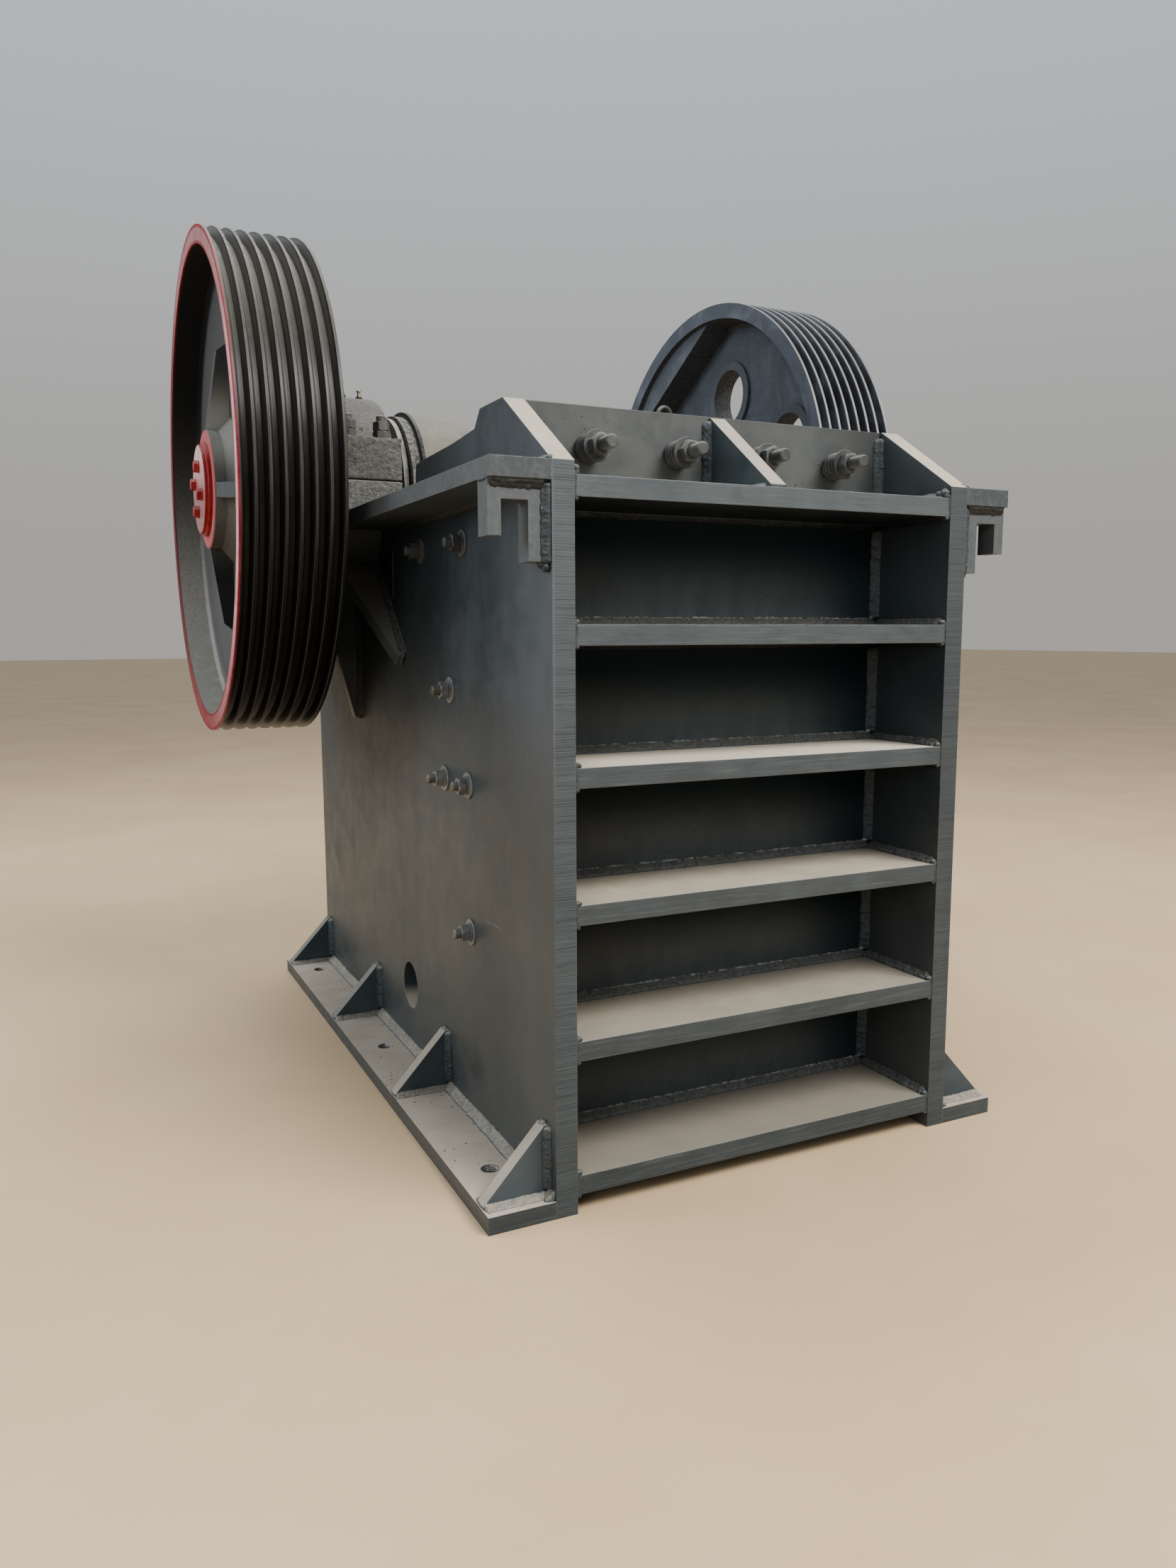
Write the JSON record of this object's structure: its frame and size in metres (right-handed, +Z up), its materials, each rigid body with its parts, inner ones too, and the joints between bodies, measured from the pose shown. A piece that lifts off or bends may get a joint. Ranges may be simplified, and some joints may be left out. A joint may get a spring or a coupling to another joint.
{
  "type": "jaw crusher",
  "caption": "Welded-plate single-toggle jaw crusher with ribbed front wall, two grooved flywheels, bolted feet and an overhead eccentric shaft.",
  "frame": {"origin": "centre of the foundation bolt pattern at floor level", "axes": "-Y towards the ribbed front wall, +X to the right seen from the front, along the eccentric shaft, +Z up"},
  "size_m": [2.034, 2.313, 2.373],
  "materials": {
    "frame_paint": "semi-gloss dark slate grey enamel over rolled plate, dusty on upward faces",
    "cast_housing": "rough sand-cast skin with thin grey paint and dust",
    "machined_steel": "turned steel, lightly oiled and dusty",
    "bolt_steel": "grey painted steel studs and nuts, worn and dusty",
    "wheel_paint": "thin dark blue-grey paint over turned and cast iron",
    "red_paint": "brushed-on red paint, slightly faded",
    "dusty_casting": "cast steel under a coat of beige workshop dust",
    "manganese_steel": "cast manganese steel, fine sand-cast skin",
    "spring_steel": "coiled round bar, dull grey"
  },
  "bodies": {
    "frame": {"side_plate_left": "frame_paint", "side_plate_right": "frame_paint", "front_wall": "frame_paint", "front_rib_1": "frame_paint", "front_rib_2": "frame_paint", "front_rib_3": "frame_paint", "front_rib_4": "frame_paint", "front_rib_5": "frame_paint", "front_rib_6": "frame_paint", "upstand_gusset": "frame_paint", "top_flange_left": "frame_paint", "top_flange_right": "frame_paint", "flange_bracket_left": "frame_paint", "flange_bracket_right": "frame_paint", "bearing_saddle_left": "frame_paint", "bearing_saddle_right": "frame_paint", "foot_left": "frame_paint", "foot_right": "frame_paint", "foot_gussets_left": "frame_paint", "foot_gussets_right": "frame_paint", "bearing_housing_left": "cast_housing", "bearing_housing_right": "cast_housing", "bearing_cap_left": "cast_housing", "bearing_cap_right": "cast_housing", "seal_rings": "machined_steel", "lifting_eyes": "bolt_steel", "fixed_jaw_plate": "manganese_steel", "cheek_plates_left": "manganese_steel", "cheek_plates_right": "manganese_steel", "jaw_clamp_bolts": "bolt_steel", "jaw_clamp_springs": "spring_steel", "toggle_beam": "frame_paint", "adjusting_shims": "bolt_steel", "toggle_plate": "manganese_steel", "tension_rod": "bolt_steel", "tension_spring": "spring_steel", "rear_wall": "frame_paint", "rear_ribs": "frame_paint"},
    "rotor": {"eccentric_shaft": "machined_steel", "flywheel_left": "wheel_paint", "flywheel_right": "wheel_paint", "hub_cap_left": "red_paint", "hub_cap_right": "red_paint"},
    "jaw": {"moving_jaw": "dusty_casting", "moving_jaw_plate": "manganese_steel"}
  },
  "joints": [
    {"name": "shaft_spin", "type": "hinge", "parent": "frame", "child": "rotor", "pos_m": [0, 0.454, 1.662], "axis": [1, 0, 0], "continuous": true},
    {"name": "jaw_orbit", "type": "hinge", "parent": "rotor", "child": "jaw", "pos_m": [0, 0.4465, 1.64901], "axis": [1, 0, 0], "continuous": true}
  ],
  "couplings": [
    {"joint": "jaw_orbit", "follows": "shaft_spin", "ratio": -1}
  ]
}
